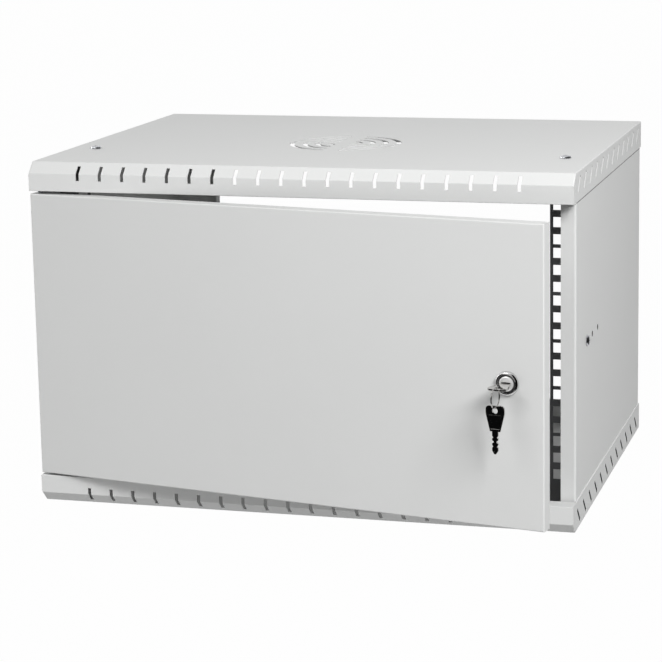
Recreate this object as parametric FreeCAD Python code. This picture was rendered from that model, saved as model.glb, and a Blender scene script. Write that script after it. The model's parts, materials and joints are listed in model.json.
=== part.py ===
"""Wall mount network cabinet: 19-inch, six rack units, folded sheet shell, one hinged door with a cam lock.

Millimetres, +Z up.  The origin is the middle of the wall plane: the wall is y = 0 and the door faces -Y.
Each sub-part is written to its own STEP file in parts/.
"""
import FreeCAD, Part
import math
import os

V = FreeCAD.Vector
X_AXIS, Y_AXIS, Z_AXIS = V(1, 0, 0), V(0, 1, 0), V(0, 0, 1)
HEX_SIDES = 6
SMALL_SIDES = 12           # of a small fastener, its hole and a pin's collar
RING_SIDES = 4             # of the key ring's wire
ROSETTE_SIDES = 40
GRILLE_SIDES = 36          # of the grille's arcs, in a full turn
COIL_STEPS = 12            # straight lengths in a turn of the spring
PAST = 1.0                 # how far a cutter runs past what it cuts

# ---- Overall sizes -------------------------------------------------------------------------------
width = 518.0              # over the side flanges of roof and floor
height = 330.0             # over roof and floor
depth = 400.0              # lip face to wall
sheet = 1.2                # shell and door steel
bend = 0.8                 # inside radius of a fold
corner = 1.2               # outside radius of a pressed corner

# ---- Roof and floor pressings --------------------------------------------------------------------
lip_height = 27.0          # side, rear and front flange height
chamfer = 10.0             # 45 degree facet between front lip and top
return_flange = 16.0       # lip turned back horizontally, carries the door pins
front_slot_count = 20
front_slot_pitch = 22.1
front_slot_width = 3.4
front_slot_end_gap = 3.5   # from the top face to the slot's upper end
front_slot_length = 13.0
ear_slot_gap = 1.42        # between a side slot and an ear of the side panel
side_slot_count = 12
side_slot_width = 3.6
side_slot_length = 19.0
side_slot_lean_deg = 45.0
side_slot_first = 27.0     # lip face to the first slot's centre

# ---- Fan grille in the roof ----------------------------------------------------------------------
vent_radius = 55.0
vent_ring_count = 4
vent_slot_width = 5.0
vent_hub_radius = 12.0
vent_from_front = 180.0
vent_wide_bridge = 15.0    # solid band across the middle, front to back
vent_thin_bridge = 4.0

# ---- Side panels ---------------------------------------------------------------------------------
panel_overlap = 5.0        # side panel tucked behind the roof and floor flanges
column_setback = 19.0      # lip face to the column's front face
column_width = 14.0
rear_flange = 50.0
rear_lip = 13.0
wall_hole_d = 9.0
wall_hole_from_edge = 28.0
wall_hole_rise = 105.0
ear_length = 36.0
ear_corner = 1.6

# ---- Rack rails (EIA-310) ------------------------------------------------------------------------
rack_units = 6
rack_unit = 44.45
rack_hole_steps = (6.35, 22.225, 38.1)
rail_from_side = 26.45     # roof's side to the line of rack holes
rail_edge = 7.55           # line of rack holes to the rail's inner edge
rack_hole = 9.5
rail_sheet = 1.5
rail_from_front = 67.0
rail_flange = 22.0
rail_side_screw_back = 9.0
rail_positions = 3
rail_step = 30.0
tab_width = 18.0

# ---- Fasteners (M5) ------------------------------------------------------------------------------
m5_r = 2.5
m5_hole_r = 2.75
m5_head_r = 5.2
m5_head_h = 2.6
m5_length = 9.5
m5_nut_flats = 8.0
m5_nut_h = 4.0
head_slope = 1.5           # chamfer round a pan head
roof_screw_from_front = 105.5

# ---- Door ----------------------------------------------------------------------------------------
ajar_deg = 10.0            # how far the door stands open at rest
door_inset = 0.8           # door face behind the lip face
door_side_gap = 1.0
door_top_gap = 3.0
door_bottom_gap = 2.0
door_flange = 13.0

# ---- Hinge ---------------------------------------------------------------------------------------
hinge_from_side = 8.0
hinge_from_front = 8.0
pin_r = 2.5
pin_collar_r = 4.0
pin_collar_h = 1.4
pin_engage = 3.0           # pin past the far side of the return flange
pin_proud = 1.0            # fixed pin past its shelf
pin_knob_r = 3.4
pin_knob_h = 4.0
pin_travel = 6.5
running = 0.06             # radial clearance of a turning or sliding fit
bracket_width = 18.0
bracket_leg = 24.0
bracket_drop = 12.5        # door's top flange to the bracket's shelf
spring_wire = 0.8
spring_turns = 4
spring_gap = 0.15

# ---- Cam lock ------------------------------------------------------------------------------------
lock_from_side = 35.0
lock_drop = 6.0            # lock axis below mid-height
rosette_r = 11.0
rosette_h = 3.0
rosette_slope = 1.8        # chamfer round the rosette
barrel_r = 9.5
barrel_flats = 16.4
lock_nut_flats = 24.0
lock_nut_h = 4.0
plug_r = 6.5
plug_proud = 0.6
cam_sheet = 2.0
cam_reach = 28.0
cam_width = 15.0
cam_tip_width = 10.0
cam_square = 7.0
cam_corner = 2.5
cam_gap = 0.6
cam_screw_r = 2.0
cam_screw_head_r = 4.6
cam_screw_head_h = 2.2
part_gap = 0.3             # between pieces that move past one another

# ---- Keys and ring -------------------------------------------------------------------------------
key_sheet = 1.8
key_bow = 23.0
key_bow_width = 18.0
key_neck_width = 9.5
key_blade = 20.0
key_blade_width = 5.6
key_bow_corner = 3.0
key_bow_taper = 0.9        # how far each side of the bow narrows to its end
key_bow_widest = 5.75      # from the bow's end
key_hole_r = 2.6
key_hole_wall = 2.0        # between the hole and the bow's end
key_cut_depths = (0.84, 1.4, 0.84)
key_cut_slope = 2.2        # half the width of a cut
key_first_cut = 5.0
key_cut_pitch = 4.0
ring_r = 9.0
ring_wire_r = 0.6
ring_forward = 1.0
ring_clear = 0.05
hang_clear = 0.15

# ---- Derived planes ------------------------------------------------------------------------------
front_y = -depth
tray_rear_y = -sheet                         # roof and floor end just inside the wall plane
top_z = height / 2
lip_z = top_z - lip_height
side_x = width / 2
web_x = side_x - sheet                       # outside of a side panel
miter = sheet * (math.sqrt(2) - 1)           # inside corner of a 45 degree fold
panel_z = lip_z + panel_overlap
column_y = front_y + column_setback
rail_y = front_y + rail_from_front
rail_hole_x = side_x - rail_from_side         # half of the 465.1 mm rack spacing
rail_inner_x = rail_hole_x - rail_edge        # half of the 450 mm rack opening
rail_top = top_z - 2 * sheet
rail_screw_y = rail_y + rail_side_screw_back
roof_screw_y = front_y + roof_screw_from_front
side_slot_pitch = (depth - 2 * side_slot_first) / (side_slot_count - 1)
slot_run = side_slot_length * math.cos(math.radians(side_slot_lean_deg)) + side_slot_width
ear_width = side_slot_pitch - slot_run - ear_slot_gap
face_y = front_y + door_inset
door_x = side_x - door_side_gap
door_top = lip_z - door_top_gap
door_bottom = -lip_z + door_bottom_gap
hinge = V(-side_x + hinge_from_side, front_y + hinge_from_front, 0)
lock = V(side_x - lock_from_side, face_y, -lock_drop)
cam_y = column_y + sheet + cam_gap
plug_front_y = face_y - rosette_h - plug_proud
key_end_y = plug_front_y - part_gap - key_bow


# ---- Helpers -------------------------------------------------------------------------------------
def box(x0, x1, y0, y1, z0, z1):
    """Block between two values on each axis."""
    low, high = V(min(x0, x1), min(y0, y1), min(z0, z1)), V(max(x0, x1), max(y0, y1), max(z0, z1))
    return Part.makeBox(high.x - low.x, high.y - low.y, high.z - low.z, low)


def rod(base, axis, radius, length):
    return Part.makeCylinder(radius, length, base, axis)


def polygon_rod(base, axis, radius, length, sides=SMALL_SIDES):
    """Prism about a round rod, its flats at the radius."""
    across = Z_AXIS if abs(axis.z) < 0.5 else X_AXIS
    points = []
    for step in range(sides):
        turn = FreeCAD.Rotation(axis, step * 360 / sides)
        points.append(base + turn.multVec(across) * (radius / math.cos(math.pi / sides)))
    return Part.Face(Part.makePolygon(points + points[:1])).extrude(axis * length)


def prism(outline, place, run):
    """Closed outline of (u, v) pairs, set in space by place(u, v) and swept along the vector run."""
    points = [place(u, v) for u, v in outline]
    return Part.Face(Part.makePolygon(points + points[:1])).extrude(run)


def fuse(shapes):
    shapes = list(shapes)
    joined = shapes[0].multiFuse(shapes[1:]) if len(shapes) > 1 else shapes[0]
    return joined.removeSplitter()


def fillet_where(shape, radius, chosen, along=None):
    """Rounds the straight edges whose two ends both satisfy chosen(point), only those that run along
    the given axis when there is one."""
    edges = []
    for edge in shape.Edges:
        if len(edge.Vertexes) != 2 or edge.Curve.TypeId != "Part::GeomLine":
            continue
        first, last = (v.Point for v in edge.Vertexes)
        lined_up = along is None or (last - first).normalize().cross(along).Length < 0.01
        if lined_up and chosen(first) and chosen(last):
            edges.append(edge)
    return shape.makeFillet(radius, edges)


def break_end(shape, size, chosen):
    """Chamfers the edges whose middle satisfies chosen(point)."""
    return shape.makeChamfer(size, [e for e in shape.Edges if chosen(e.CenterOfMass)])


def rounded_line(points, radii):
    """Edges of an open line through the points, its inner corners turned to arcs."""
    edges, start = [], points[0]
    for before, at, after, radius in zip(points, points[1:], points[2:], radii):
        back, on = (before - at).normalize(), (after - at).normalize()
        half = back.getAngle(on) / 2
        reach = radius / math.tan(half)
        middle = at + (back + on).normalize() * (radius / math.sin(half) - radius)
        edges.append(Part.makeLine(start, at + back * reach))
        edges.append(Part.Arc(at + back * reach, middle, at + on * reach).toShape())
        start = at + on * reach
    edges.append(Part.makeLine(start, points[-1]))
    return edges


def folded(line, gauge, normal, run):
    """Folded strip: line holds the points of one face, gauge lies to the left of travel seen against
    normal (to the right when negative), and run sweeps the section."""
    points = [V(*p) for p in line]
    ways = [(b - a).normalize() for a, b in zip(points, points[1:])]
    sides = [normal.cross(w) * gauge for w in ways]
    other, near, far = [points[0] + sides[0]], [], []
    for at, way, nxt, side, side_nxt in zip(points[1:], ways, ways[1:], sides, sides[1:]):
        other.append(at + (side + side_nxt) * (1 / (1 + way.dot(nxt))))
        inward = side.dot(nxt) > 0
        near.append(bend + abs(gauge) if inward else bend)
        far.append(bend if inward else bend + abs(gauge))
    other.append(points[-1] + sides[-1])
    loop = rounded_line(points, near) + [Part.makeLine(points[-1], other[-1])]
    loop += rounded_line(other, far) + [Part.makeLine(other[0], points[0])]
    return Part.Face(Part.Wire(Part.__sortEdges__(loop))).extrude(run)


def slot_cutter(centre, axis, along, length, breadth, thickness):
    """Cutter for a narrow slot, its long way set by along, thickness deep on axis."""
    across = axis.cross(along)
    start = centre - axis * (thickness / 2)
    end, side = length / 2, breadth / 2
    outline = [(-end, -side), (end, -side), (end, side), (-end, side)]
    return prism(outline, lambda u, v: start + along * u + across * v, axis * thickness)


def obround(centre, axis, along, length, breadth, thickness):
    """Cutter for a fastener's slot with shaped ends, its long way set by along, thickness deep on axis."""
    start = centre - axis * (thickness / 2)
    reach = along * ((length - breadth) / 2)
    straight = slot_cutter(centre, axis, along, length - breadth, breadth, thickness)
    return straight.multiFuse([polygon_rod(start + reach * s, axis, breadth / 2, thickness) for s in (-1, 1)])


def mirrored(shape, normal):
    return shape.mirror(V(0, 0, 0), normal)


def opened(shape):
    """Turns a piece of the closed door to the door's resting angle."""
    turned = shape.copy()
    turned.rotate(hinge, Z_AXIS, -ajar_deg)
    return turned


# ---- Roof and floor ------------------------------------------------------------------------------
def tray():
    """Roof pressing without its grille: chamfered front lip, side and rear flanges, slots and holes."""
    place = lambda y, z: V(-side_x, y, z)
    outline = [(front_y, lip_z), (front_y, top_z - chamfer), (front_y + chamfer, top_z),
               (tray_rear_y, top_z), (tray_rear_y, lip_z)]
    shell = prism(outline, place, X_AXIS * width)
    shell = fillet_where(shell, corner, lambda p: p.z > lip_z + bend)
    shell = fillet_where(shell, corner / 2, lambda p: p.y < front_y + bend and p.z < lip_z + bend)
    inside = [(front_y + sheet, lip_z + sheet), (front_y + sheet, top_z - chamfer - miter),
              (front_y + chamfer + miter, top_z - sheet), (tray_rear_y - sheet, top_z - sheet),
              (tray_rear_y - sheet, lip_z + sheet)]
    hollow = prism(inside, lambda y, z: V(-web_x, y, z), X_AXIS * (2 * web_x))
    mouth = box(-web_x, web_x, front_y + return_flange, tray_rear_y - sheet, lip_z - sheet, lip_z + 2 * sheet)
    shell = shell.cut(hollow.fuse(mouth))
    return shell.cut(Part.makeCompound(front_slots() + side_slots() + tray_holes()))


def front_slots():
    """Upright slots that run from the lip over the fold onto the chamfer."""
    z = top_z - front_slot_end_gap - front_slot_length / 2
    first = -front_slot_pitch * (front_slot_count - 1) / 2
    return [slot_cutter(V(first + i * front_slot_pitch, front_y, z), Y_AXIS, Z_AXIS,
                        front_slot_length, front_slot_width, 2 * chamfer) for i in range(front_slot_count)]


def side_slots():
    """Slots leaning rearwards through both side flanges."""
    lean = math.radians(side_slot_lean_deg)
    z = top_z - (lip_height - panel_overlap) / 2 - sheet
    return [slot_cutter(V(side * side_x, front_y + side_slot_first + i * side_slot_pitch, z), X_AXIS,
                        V(0, math.cos(lean), math.sin(lean)), side_slot_length, side_slot_width, 4 * sheet)
            for i in range(side_slot_count) for side in (-1, 1)]


def tray_holes():
    """Roof screw holes, rear stud holes and the door pin's hole."""
    holes = []
    for side in (-1, 1):
        screw_at = V(side * rail_hole_x, roof_screw_y, top_z - 2 * sheet)
        holes.append(polygon_rod(screw_at, Z_AXIS, m5_hole_r, 3 * sheet))
        stud_at = V(side * rail_hole_x, -3 * sheet, stud_z())
        holes.append(polygon_rod(stud_at, Y_AXIS, m5_hole_r, 3 * sheet))
    holes.append(rod(V(hinge.x, hinge.y, lip_z - sheet), Z_AXIS, pin_r + running, 3 * sheet))
    return holes


def stud_z():
    return lip_z + (top_z - lip_z) / 2


def grille():
    """Cutter for the fan grille: rings of arc slots, bridged by a wide band and a thin one."""
    centre = V(0, front_y + vent_from_front, top_z - 2 * sheet)
    step = (vent_radius - vent_slot_width - vent_hub_radius) / (vent_ring_count - 1)
    rings = []
    for i in range(vent_ring_count):
        inner = vent_hub_radius + i * step
        outer_disc = polygon_rod(centre, Z_AXIS, inner + vent_slot_width, 3 * sheet, GRILLE_SIDES)
        rings.append(outer_disc.cut(polygon_rod(centre, Z_AXIS, inner, 3 * sheet, GRILLE_SIDES)))
    reach = vent_radius + PAST
    band = box(-vent_wide_bridge / 2, vent_wide_bridge / 2, centre.y - reach, centre.y + reach,
               centre.z, top_z + sheet)
    cross = box(-reach, reach, centre.y - vent_thin_bridge / 2, centre.y + vent_thin_bridge / 2,
                centre.z, top_z + sheet)
    return Part.makeCompound([ring.cut(band.fuse(cross)) for ring in rings])


def roof():
    return tray().cut(grille())


def floor_tray():
    return mirrored(tray(), Z_AXIS)


# ---- Side panels ---------------------------------------------------------------------------------
def side_panel():
    """Right panel: column flange in front, web, rear flange with a stiffening lip, and four ears."""
    rear_x = web_x - rear_flange
    line = [(rear_x, -rear_lip, -panel_z), (rear_x, 0, -panel_z), (web_x, 0, -panel_z),
            (web_x, column_y, -panel_z), (web_x - column_width, column_y, -panel_z)]
    panel = folded(line, -sheet, Z_AXIS, Z_AXIS * (2 * panel_z))
    relief = rear_relief(rear_x)
    pieces = [panel.cut(relief.fuse(mirrored(relief, Z_AXIS)))]
    for flip in (False, True):
        ears = roof_ear().fuse(rear_ear())
        pieces.append(mirrored(ears, Z_AXIS) if flip else ears)
    panel = fuse(pieces)
    holes = [polygon_rod(V(rail_hole_x, roof_screw_y, -height), Z_AXIS, m5_hole_r, 2 * height)]
    for sign in (-1, 1):
        stud_at = V(rail_hole_x, -2 * sheet, sign * stud_z())
        holes.append(polygon_rod(stud_at, Y_AXIS, m5_r, 3 * sheet))
        wall_at = V(side_x - wall_hole_from_edge, -2 * sheet, sign * wall_hole_rise)
        holes.append(rod(wall_at, Y_AXIS, wall_hole_d / 2, 3 * sheet))
    for i in range(rail_positions):
        rail_at = V(web_x - 2 * sheet, rail_screw_y + i * rail_step, 0)
        holes.append(polygon_rod(rail_at, X_AXIS, m5_hole_r, 3 * sheet))
    return panel.cut(Part.makeCompound(holes))


def rear_relief(rear_x):
    """Corner cut-out that clears the roof's rear flange, and the end of the stiffening lip."""
    flange = box(rear_x - sheet, side_x, tray_rear_y - sheet, tray_rear_y, lip_z, top_z)
    lip = box(rear_x - sheet, rear_x + sheet + bend, -rear_lip - sheet, tray_rear_y, lip_z, top_z)
    return flange.fuse(lip)


def roof_ear():
    """Tab that rises between two slots and folds in under the roof."""
    start = roof_screw_y - ear_width / 2
    line = [(web_x, start, panel_z - panel_overlap), (web_x, start, top_z - sheet),
            (web_x - ear_length, start, top_z - sheet)]
    return folded(line, -sheet, Y_AXIS, Y_AXIS * ear_width)


def rear_ear():
    """Tab of the rear flange that stands behind the roof's rear flange."""
    half = tab_width / 2
    ear = box(rail_hole_x - half, rail_hole_x + half, -sheet, 0, panel_z - panel_overlap, top_z - 2 * sheet)
    return fillet_where(ear, ear_corner, lambda p: p.z > panel_z, Y_AXIS)


# ---- Rack rails ----------------------------------------------------------------------------------
def rack_rail():
    """Right rail: folded angle with square holes, and slotted tabs under the roof and over the floor."""
    inner_x, outer_x = rail_inner_x, web_x - sheet
    line = [(inner_x, rail_y, -rail_top), (outer_x, rail_y, -rail_top),
            (outer_x, rail_y + rail_flange, -rail_top)]
    angle = folded(line, rail_sheet, Z_AXIS, Z_AXIS * (2 * rail_top))
    tab_end = roof_screw_y + m5_head_r + rail_sheet
    tab_line = [(inner_x, rail_y, 0), (inner_x, rail_y, rail_top), (inner_x, tab_end, rail_top)]
    tab = folded(tab_line, -rail_sheet, X_AXIS, X_AXIS * tab_width)
    corner_cut = box(inner_x, inner_x + tab_width, rail_y - rail_sheet, rail_y + bend + rail_sheet,
                     rail_top - bend - rail_sheet, rail_top + rail_sheet)
    angle = angle.cut(corner_cut.fuse(mirrored(corner_cut, Z_AXIS)))
    rail = fuse([angle, tab, mirrored(tab, Z_AXIS)])
    slot_length = rail_step + 2 * m5_hole_r
    cuts = [obround(V(rail_hole_x, roof_screw_y - rail_step / 2, sign * rail_top), Z_AXIS, Y_AXIS,
                    slot_length, 2 * m5_hole_r, 4 * rail_sheet) for sign in (-1, 1)]
    cuts.append(polygon_rod(V(outer_x - 2 * rail_sheet, rail_screw_y, 0), X_AXIS, m5_hole_r, 3 * rail_sheet))
    half = rack_hole / 2
    for z in rack_hole_heights():
        cuts.append(box(rail_hole_x - half, rail_hole_x + half, rail_y - rail_sheet, rail_y + 2 * rail_sheet,
                        z - half, z + half))
    return rail.cut(Part.makeCompound(cuts))


def rack_hole_heights():
    bottom = -rack_units * rack_unit / 2
    return [bottom + unit * rack_unit + step for unit in range(rack_units) for step in rack_hole_steps]


# ---- Fasteners -----------------------------------------------------------------------------------
def screw(seat, inward, shank_r, length, head_r, head_h):
    """Pan head screw, its head on the seat point and its shank along inward."""
    head = polygon_rod(seat, inward * -1, head_r, head_h)
    head = break_end(head, head_slope, lambda p: (seat - p).dot(inward) > head_h - running)
    return head.fuse(polygon_rod(seat, inward, shank_r, length)).removeSplitter()


def nut(base, axis, flats, thickness, bore_r):
    """Hexagon nut, flats across and bored through."""
    blank = polygon_rod(base, axis, flats / 2, thickness, HEX_SIDES)
    return blank.cut(polygon_rod(base, axis, bore_r, thickness))


def panel_screws():
    """Two screws through the roof, two through the floor and one through each side panel."""
    made = []
    for side in (-1, 1):
        for level in (-1, 1):
            seat = V(side * rail_hole_x, roof_screw_y, level * top_z)
            made.append(screw(seat, Z_AXIS * -level, m5_r, m5_length, m5_head_r, m5_head_h))
        seat = V(side * web_x, rail_screw_y, 0)
        made.append(screw(seat, X_AXIS * -side, m5_r, m5_length, m5_head_r, m5_head_h))
    return Part.makeCompound(made)


def clinch_studs():
    """Studs pressed flush into the ears of the side panels' rear flanges."""
    seats = [V(side * rail_hole_x, 0, level * stud_z()) for side in (-1, 1) for level in (-1, 1)]
    return Part.makeCompound([polygon_rod(seat, Y_AXIS * -1, m5_r, m5_length) for seat in seats])


def panel_nuts():
    """One nut on each panel screw and on each clinch stud."""
    made = []
    for side in (-1, 1):
        for level in (-1, 1):
            under_tab = V(side * rail_hole_x, roof_screw_y, level * (rail_top - rail_sheet))
            made.append(nut(under_tab, Z_AXIS * -level, m5_nut_flats, m5_nut_h, m5_r))
            in_tray = V(side * rail_hole_x, -2 * sheet, level * stud_z())
            made.append(nut(in_tray, Y_AXIS * -1, m5_nut_flats, m5_nut_h, m5_r))
        in_rail = V(side * (web_x - sheet - rail_sheet), rail_screw_y, 0)
        made.append(nut(in_rail, X_AXIS * -side, m5_nut_flats, m5_nut_h, m5_r))
    return Part.makeCompound(made)


# ---- Door and hinge ------------------------------------------------------------------------------
def door_panel():
    """Pan with four returned edges, pierced for the two hinge pins and the lock barrel."""
    back = face_y + door_flange
    pan = box(-door_x, door_x, face_y, back, door_bottom, door_top)
    pan = pan.makeFillet(corner, [e for e in pan.Edges if e.CenterOfMass.y < face_y + bend])
    pan = pan.cut(box(-door_x + sheet, door_x - sheet, face_y + sheet, back + PAST,
                      door_bottom + sheet, door_top - sheet))
    pins = rod(V(hinge.x, hinge.y, -height), Z_AXIS, pin_r + running, 2 * height)
    return pan.cut(pins.fuse(barrel(face_y - sheet, 3 * sheet, running)))


def barrel(start_y, length, grow=0.0):
    """Double-D barrel section, grown all round by grow."""
    base = V(lock.x, start_y, lock.z)
    flat = barrel_flats / 2 + grow
    body = rod(base, Y_AXIS, barrel_r + grow, length)
    return body.common(box(lock.x - barrel_r * 2, lock.x + barrel_r * 2, start_y, start_y + length,
                           lock.z - flat, lock.z + flat))


def hinge_bracket(shelf_z, rise):
    """Angle welded inside the door: a leg on the door sheet, and a shelf that guides the pin."""
    inside = face_y + sheet
    start = -door_x + sheet
    line = [(start, inside, shelf_z + rise * bracket_leg), (start, inside, shelf_z),
            (start, face_y + door_flange - sheet, shelf_z)]
    shelf = folded(line, sheet * rise, X_AXIS, X_AXIS * bracket_width)
    return shelf.cut(rod(V(hinge.x, hinge.y, shelf_z - 3 * sheet), Z_AXIS, pin_r + running, 6 * sheet))


def upper_bracket():
    return hinge_bracket(door_top - sheet - bracket_drop, -1)


def lower_bracket():
    return hinge_bracket(door_bottom + sheet + bracket_drop, 1)


def upper_pin():
    """Spring pin: tip in the roof's return flange, collar under the door's top edge, knob below."""
    top = lip_z + sheet + pin_engage
    collar = door_top - sheet - pin_collar_h - running
    knob = door_top - sheet - bracket_drop - sheet - pin_travel - pin_knob_h
    shaft = rod(V(hinge.x, hinge.y, knob), Z_AXIS, pin_r, top - knob)
    shaft = break_end(shaft, bend, lambda p: p.z > top - bend)
    return fuse([shaft, polygon_rod(V(hinge.x, hinge.y, collar), Z_AXIS, pin_collar_r, pin_collar_h),
                 polygon_rod(V(hinge.x, hinge.y, knob), Z_AXIS, pin_knob_r, pin_knob_h)])


def lower_pin():
    """Fixed pin through the door's bottom edge and shelf, with the collar that carries the door."""
    bottom = -lip_z - sheet - pin_engage
    top = door_bottom + sheet + bracket_drop + sheet + pin_proud
    shaft = rod(V(hinge.x, hinge.y, bottom), Z_AXIS, pin_r, top - bottom)
    foot = V(hinge.x, hinge.y, -lip_z + 2 * running)
    return fuse([shaft, polygon_rod(foot, Z_AXIS, pin_collar_r, door_bottom_gap - 2 * running)])


def hinge_spring():
    """Compression spring between the bracket's shelf and the upper pin's collar, wound of square wire."""
    low = door_top - sheet - bracket_drop
    high = door_top - sheet - pin_collar_h - running
    inner = (pin_r + spring_gap) / math.cos(math.pi / COIL_STEPS)
    steps = spring_turns * COIL_STEPS
    climb = (high - low - spring_wire) / steps

    def section(step):
        """Corners of the wire's section after so many steps."""
        turn = 2 * math.pi * step / COIL_STEPS
        out = V(math.cos(turn), math.sin(turn), 0)
        at = V(hinge.x, hinge.y, low + climb * step) + out * inner
        top = at + Z_AXIS * spring_wire
        return [at, at + out * spring_wire, top + out * spring_wire, top]

    def facet(*points):
        return Part.Face(Part.makePolygon(list(points) + [points[0]]))

    faces = [facet(*section(0)), facet(*section(steps))]
    for step in range(steps):
        here, there = section(step), section(step + 1)
        for a, b in zip(range(4), (1, 2, 3, 0)):
            faces += [facet(here[a], here[b], there[b]), facet(here[a], there[b], there[a])]
    return Part.Solid(Part.Shell(faces))


# ---- Lock ----------------------------------------------------------------------------------------
def lock_body():
    """Rosette and barrel in one casting, bored for the plug."""
    rosette = polygon_rod(V(lock.x, face_y, lock.z), Y_AXIS * -1, rosette_r, rosette_h, ROSETTE_SIDES)
    rosette = break_end(rosette, rosette_slope, lambda p: p.y < face_y - rosette_h + running)
    body = fuse([rosette, barrel(face_y, cam_y - part_gap - face_y)])
    bore_from = V(lock.x, face_y - rosette_h - PAST, lock.z)
    return body.cut(rod(bore_from, Y_AXIS, plug_r + running, cam_y - bore_from.y))


def lock_nut():
    base = V(lock.x, face_y + sheet, lock.z)
    blank = polygon_rod(base, Y_AXIS, lock_nut_flats / 2, lock_nut_h, HEX_SIDES)
    return blank.cut(rod(base, Y_AXIS, barrel_r, lock_nut_h))


def lock_plug():
    """Turning plug with the keyway in front and the cam's square behind."""
    body = rod(V(lock.x, plug_front_y, lock.z), Y_AXIS, plug_r, cam_y - plug_front_y)
    keyway_x, keyway_z = key_blade_width / 2 + running, key_sheet / 2 + running
    keyway = box(lock.x - keyway_x, lock.x + keyway_x, plug_front_y, plug_front_y + key_blade + part_gap,
                 lock.z - keyway_z, lock.z + keyway_z)
    tapped = polygon_rod(V(lock.x, cam_y - part_gap, lock.z), Y_AXIS, cam_screw_r, cam_sheet * 2)
    return fuse([body, cam_seat()]).cut(keyway).cut(tapped)


def lock_cam():
    """Flat cam, upright when unlocked."""
    half, tip = cam_width / 2, cam_tip_width / 2
    outline = [(-half, -half), (half, -half), (half, half),
               (tip, cam_reach), (-tip, cam_reach), (-half, half)]
    plate = prism(outline, lambda x, z: V(lock.x + x, cam_y, lock.z + z), Y_AXIS * cam_sheet)
    plate = fillet_where(plate, cam_corner, lambda p: True, Y_AXIS)
    return plate.cut(cam_seat())


def cam_seat():
    """Square end of the plug that drives the cam."""
    half = cam_square / 2
    return box(lock.x - half, lock.x + half, cam_y, cam_y + cam_sheet, lock.z - half, lock.z + half)


def cam_screw():
    seat = V(lock.x, cam_y + cam_sheet, lock.z)
    return screw(seat, Y_AXIS * -1, cam_screw_r, cam_sheet + part_gap, cam_screw_head_r, cam_screw_head_h)


# ---- Keys and ring -------------------------------------------------------------------------------
def key():
    """Flat key along +Y from its bow's end at the origin, lying in the XY plane."""
    bow, neck, blade = key_bow_width / 2, key_neck_width / 2, key_blade_width / 2
    tip_y = key_bow + key_blade
    right = [(bow - key_bow_taper, 0), (bow, key_bow_widest), (neck, key_bow), (blade, key_bow),
             (blade, tip_y - blade)]
    outline = right + [(0, tip_y)] + [(-x, y) for x, y in reversed(right)]
    plate = prism(outline, lambda x, y: V(x, y, -key_sheet / 2), Z_AXIS * key_sheet)
    plate = fillet_where(plate, key_bow_corner, lambda p: abs(p.x) > neck + bend, Z_AXIS)
    cuts = [rod(V(0, key_hole_wall + key_hole_r, -key_sheet), Z_AXIS, key_hole_r, 2 * key_sheet)]
    for step, depth in enumerate(key_cut_depths):
        y = key_bow + key_first_cut + key_cut_pitch * step
        notch = [(blade - depth, y), (blade + PAST, y - key_cut_slope), (blade + PAST, y + key_cut_slope)]
        cuts.append(prism(notch, lambda x, v: V(x, v, -key_sheet), Z_AXIS * 2 * key_sheet))
    return plate.cut(Part.makeCompound(cuts))


def key_in_lock():
    placed = key()
    placed.translate(V(lock.x, key_end_y, lock.z))
    return placed


def ring_centre():
    """The ring rests over the wall between the bow's hole and its end."""
    inner = ring_r - ring_wire_r - ring_clear
    drop = math.sqrt(inner ** 2 - (key_hole_wall + ring_forward) ** 2) - key_sheet / 2
    return V(lock.x, key_end_y - ring_forward, lock.z - drop)


def key_ring():
    centre = ring_centre()
    middle = centre + Y_AXIS * ring_r
    points = [middle + (Y_AXIS * math.cos(a) + X_AXIS * math.sin(a)) * ring_wire_r
              for a in (math.radians(step * 360 / RING_SIDES) for step in range(RING_SIDES))]
    return Part.Face(Part.makePolygon(points + points[:1])).revolve(centre, X_AXIS, 360)


def spare_key():
    """Spare key hanging on the bottom of the ring, flat side to the front."""
    hung = key()
    hung.rotate(V(0, 0, 0), X_AXIS, -90)
    wire = ring_centre() - Z_AXIS * ring_r
    bow_end = wire + Z_AXIS * (ring_wire_r + hang_clear + key_hole_wall)
    hung.translate(bow_end)
    return hung


# ---- Build ---------------------------------------------------------------------------------------
def nodes():
    panel, rail = side_panel(), rack_rail()
    fixed = {
        "roof": roof(),
        "floor_tray": floor_tray(),
        "side_panel_right": panel,
        "side_panel_left": mirrored(panel, X_AXIS),
        "rack_rail_right": rail,
        "rack_rail_left": mirrored(rail, X_AXIS),
        "panel_screws": panel_screws(),
        "panel_nuts": panel_nuts(),
        "clinch_studs": clinch_studs(),
    }
    on_door = {
        "door_panel": door_panel(),
        "hinge_bracket_upper": upper_bracket(),
        "hinge_bracket_lower": lower_bracket(),
        "hinge_pin_upper": upper_pin(),
        "hinge_pin_lower": lower_pin(),
        "hinge_spring": hinge_spring(),
        "lock_body": lock_body(),
        "lock_nut": lock_nut(),
        "lock_plug": lock_plug(),
        "lock_cam": lock_cam(),
        "cam_screw": cam_screw(),
        "key_in_lock": key_in_lock(),
        "key_ring": key_ring(),
        "spare_key": spare_key(),
    }
    return {**fixed, **{name: opened(shape) for name, shape in on_door.items()}}


def main():
    os.makedirs("parts", exist_ok=True)
    for name, shape in nodes().items():
        shape.exportStep("parts/" + name + ".step")


main()
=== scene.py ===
"""Scene of a wall mount network cabinet: finishes, small hardware, studio and camera.

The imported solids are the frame.  Everything is in metres in the same frame: the wall is y = 0, the door
faces -Y and +Z is up.  Pieces of the lock are modelled in the lock's own axes and set in place by one matrix.
"""

import json
import logging
import math
from dataclasses import dataclass
from enum import Enum
from typing import Callable, Iterator, Mapping, Sequence, Union

import bmesh
import bpy
from mathutils import Matrix, Vector

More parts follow.
